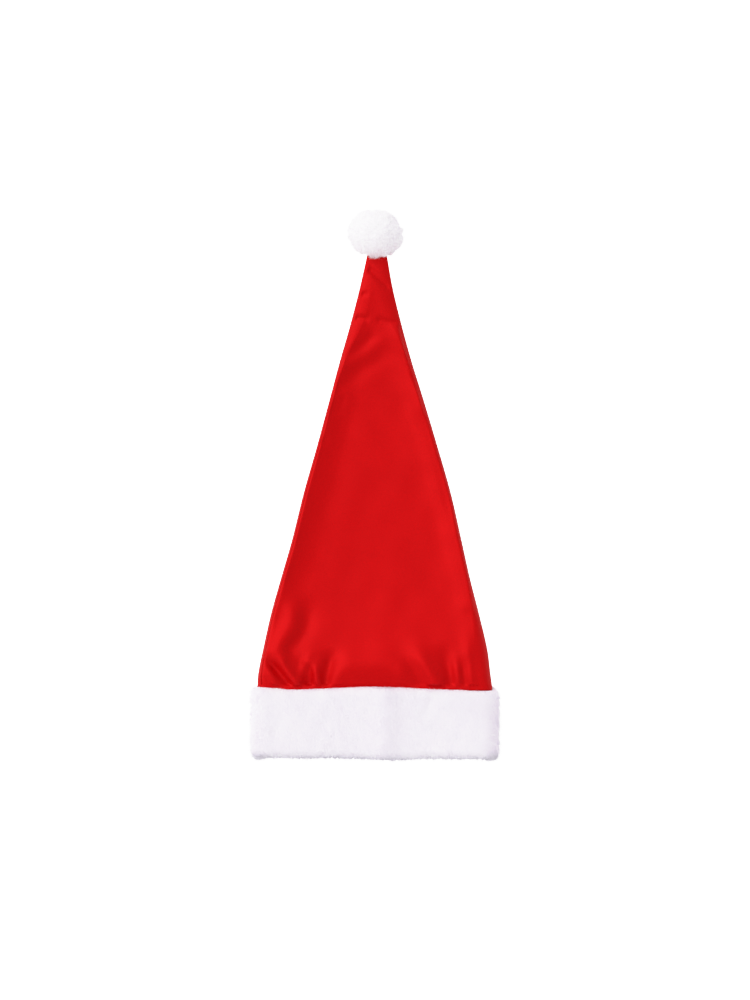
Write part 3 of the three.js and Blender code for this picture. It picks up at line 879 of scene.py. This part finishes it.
def pompom_pile(name, count, material):
    """Pompom fibres: they stand out of the core on every side, leaning into its tufts, flattened
    underneath, and make room for the crown's tip."""
    rng = np.random.default_rng(POMPOM_SEED + 1)
    ways = unit(even_ways(count) + rng.normal(0, YARN_JITTER, (count, 3)))
    tufts, stand = pompom_tufts(ways, POMPOM_SEED)
    heads = unit(ways + TUFT_PULL * (tufts - ways) + rng.normal(0, YARN_LEAN, (count, 3)))
    longer = rng.random(count) < LONG_SHARE
    reach = stand * rng.uniform(*YARN_LENGTHS, count)
    reach = np.where(longer, stand + rng.uniform(0, YARN_STRAY, count), reach)
    root = POMPOM_CENTRE + POMPOM_CORE * ways * stand[:, None] * YARN_ROOT
    tip = POMPOM_CENTRE + POMPOM_REACH * heads * reach[:, None]
    root[:, 2] = np.maximum(root[:, 2], YARN_FOOT)
    tip[:, 2] = np.maximum(tip[:, 2], LOWEST_TIP)
    x, y, z = tip.T
    on_tip = (y < TIP_Y + TIP_ROOM_END) & (x > TIP_ROOM_X[0]) & (x < TIP_ROOM_X[1])
    over = on_tip & (z > TIP_ROOM_MIDDLE)
    under = on_tip & ~over
    tip[:, 2] = np.select([over, under], [np.maximum(z, TIP_ROOM_TOP), np.minimum(z, TIP_ROOM_UNDER)], z)
    width = np.where(longer, YARN_LONG_WIDTH, YARN_WIDTH)
    return fibres(name, root, tip, width, 0.0, material, rng)


# Making the pieces

satin_face = satin("red_satin", colour(172, 1, 5), colour(205, 4, 8), 0.5)
satin_back = satin("red_satin_reverse", colour(166, 4, 8), colour(196, 8, 12), 0.7)
# The grounds' colours in their hollows and on their lumps: the hollows' darker tone is painted shade.
ground = plush_ground("plush_ground", colour(249, 244, 253), colour(253, 249, 255), 8)
ball = plush_ground("pompom_ground", colour(251, 247, 249), colour(254, 251, 253), 30)
# The pile's colours at root and tip, and the grey shade colour that the parted fibres at the band's lower
# fold are darkened to as painted shade.
pile = plush_pile("plush_pile", colour(250, 246, 253), colour(254, 251, 255), colour(184, 183, 190))

# Places across the panels: the gap between them where the side edges are GAP_ROLL high, and strips of finer
# steps beside the seams
SEAM_GAP = 0.06
GAP_ROLL = 10
SEAM_STRIP = 0.06


def panel_places(first, flat_steps):
    """Places across a panel from the seam on the side edge that starts at place first, over its flat side
    in that many steps, to the other seam."""
    half_gap = SEAM_GAP / 2 / (np.pi * GAP_ROLL)
    start = first + SEAM_TURN
    end = first + 2 + SEAM_TURN
    return spaced(start + half_gap, (start + SEAM_STRIP, 8), (first + 1, 16), (first + 2, flat_steps),
                  (end - SEAM_STRIP, 4), (end - half_gap, 8))


crown_front = satin_panel("satin_front", panel_places(0, 130), satin_face, satin_back)
crown_back = satin_panel("satin_back", panel_places(2, 40), satin_face, satin_back)
for piece, node in ((crown_front, "crown_front"), (crown_back, "crown_back")):
    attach(piece, "root")
    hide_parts(node)

band = band_ground(ground)
pom = pompom_core(ball)
outer = outer_path()
inner = inner_path()
BandPile = namedtuple("BandPile", "name count places path length width seed")
BAND_PILES = [
    BandPile("band_pile_upper", 66000, (1, 2), outer, PILE, 0.4, 11),
    BandPile("band_pile_right", 19000, (0, 1), outer, PILE, 0.4, 21),
    BandPile("band_pile_left", 19000, (2, 3), outer, PILE, 0.4, 31),
    BandPile("band_pile_under", 26000, (3, 4), outer, PILE, 0.7, 41),
    BandPile("band_pile_inside", 24000, (1, 2), inner, PILE_INSIDE, 0.7, 51),
    BandPile("band_pile_inside_under", 24000, (3, 4), inner, PILE_INSIDE, 0.7, 61),
]
band_piles = [band_pile(*row, material=pile) for row in BAND_PILES]
yarn = pompom_pile("pompom_pile", 36000, pile)
for piece in (band, *band_piles, pom, yarn):
    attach(piece, "root")
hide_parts("fur_band")
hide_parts("pompom")

# Stage, light and camera

# Light from all round, more of it from a wide soft patch, and a soft key. The camera sees sky and floor as
# white.
SKY_LIGHT = 0.82
SKY_SEEN = 2.2
SOFTBOX_WAY = (-0.66, 0.4, 0.64)
SOFTBOX_EDGE = (0.55, 0.95)
SOFTBOX_LIGHT = 1.92
KEY_LIGHT = 0.58
KEY_SPREAD = 1.0
KEY_TURN = (-24, -40, 0)
FLOOR_SEEN = 1.7
FLOOR_SIZE = 14.0
FLOOR_DROP = 0.0003
FAR_CLIP = 50
LIGHT_BOUNCES = 8

# Highlights ease off: light in the scene, and the share of white that it is shown as
SHOULDER_WHITE = 2.1
SHOULDER = ((0.8, 0.8), (0.9, 0.862), (1.0, 0.91), (1.2, 0.96), (1.4, 0.976), (1.8, 0.992))

bpy.ops.mesh.primitive_plane_add(size=FLOOR_SIZE, location=(0, 0, -FLOOR_DROP))
floor = bpy.context.object
floor.name = "floor"
floor_finish = Finish("pale_floor", Roughness=0.9, Specular_IOR_Level=0.0, Base_Color=colour(240, 240, 240),
                      Emission_Strength=FLOOR_SEEN)
seen_by_camera = floor_finish.node("ShaderNodeLightPath", output="Is Camera Ray")
floor_finish.drive(Emission_Color=floor_finish.blend(seen_by_camera, colour(0, 0, 0), colour(255, 255, 255)))
floor.data.materials.append(floor_finish.material)

world = bpy.data.worlds.new("studio")
bpy.context.scene.world = world
world.use_nodes = True
nodes = world.node_tree.nodes
links = world.node_tree.links
sky = nodes["Background"]
sky.inputs["Color"].default_value = (1, 1, 1, 1)
ways = nodes.new("ShaderNodeTexCoord")
aim = nodes.new("ShaderNodeVectorMath")
aim.operation = "DOT_PRODUCT"
aim.inputs[1].default_value = unit(np.array(SOFTBOX_WAY)).tolist()
links.new(ways.outputs["Generated"], aim.inputs[0])
glow = nodes.new("ShaderNodeMapRange")
glow.interpolation_type = "SMOOTHSTEP"
for socket, value in (("From Min", SOFTBOX_EDGE[0]), ("From Max", SOFTBOX_EDGE[1]), ("To Min", SKY_LIGHT),
                      ("To Max", SOFTBOX_LIGHT)):
    glow.inputs[socket].default_value = value
links.new(aim.outputs["Value"], glow.inputs["Value"])
path = nodes.new("ShaderNodeLightPath")
seen = nodes.new("ShaderNodeMapRange")
seen.inputs["To Max"].default_value = SKY_SEEN
links.new(glow.outputs["Result"], seen.inputs["To Min"])
links.new(path.outputs["Is Camera Ray"], seen.inputs["Value"])
links.new(seen.outputs["Result"], sky.inputs["Strength"])

lamp = bpy.data.lights.new("key", "SUN")
lamp.energy = KEY_LIGHT
lamp.angle = KEY_SPREAD
key = bpy.data.objects.new("key", lamp)
key.rotation_euler = np.radians(KEY_TURN)
bpy.context.collection.objects.link(key)

lens = bpy.data.cameras.new("camera")
lens.lens = LENS
lens.sensor_width = SENSOR
lens.clip_end = FAR_CLIP
camera = bpy.data.objects.new("camera", lens)
distance = PHOTO_SIZE[1] * PIXEL_MM * LENS / SENSOR + MEASURED_AT
camera.location = (PHOTO_CENTRE[0] * MM, PHOTO_CENTRE[1] * MM, distance * MM)
bpy.context.collection.objects.link(camera)
bpy.context.scene.camera = camera
view = bpy.context.scene.view_settings
view.view_transform = "Standard"
view.use_curve_mapping = True
view.curve_mapping.white_level = [SHOULDER_WHITE] * 3
tones = view.curve_mapping.curves[3]
for light, shown in SHOULDER:
    tones.points.new(light / SHOULDER_WHITE, shown)
for point in tones.points:
    point.handle_type = "VECTOR"
view.curve_mapping.update()
bpy.context.scene.cycles.diffuse_bounces = LIGHT_BOUNCES
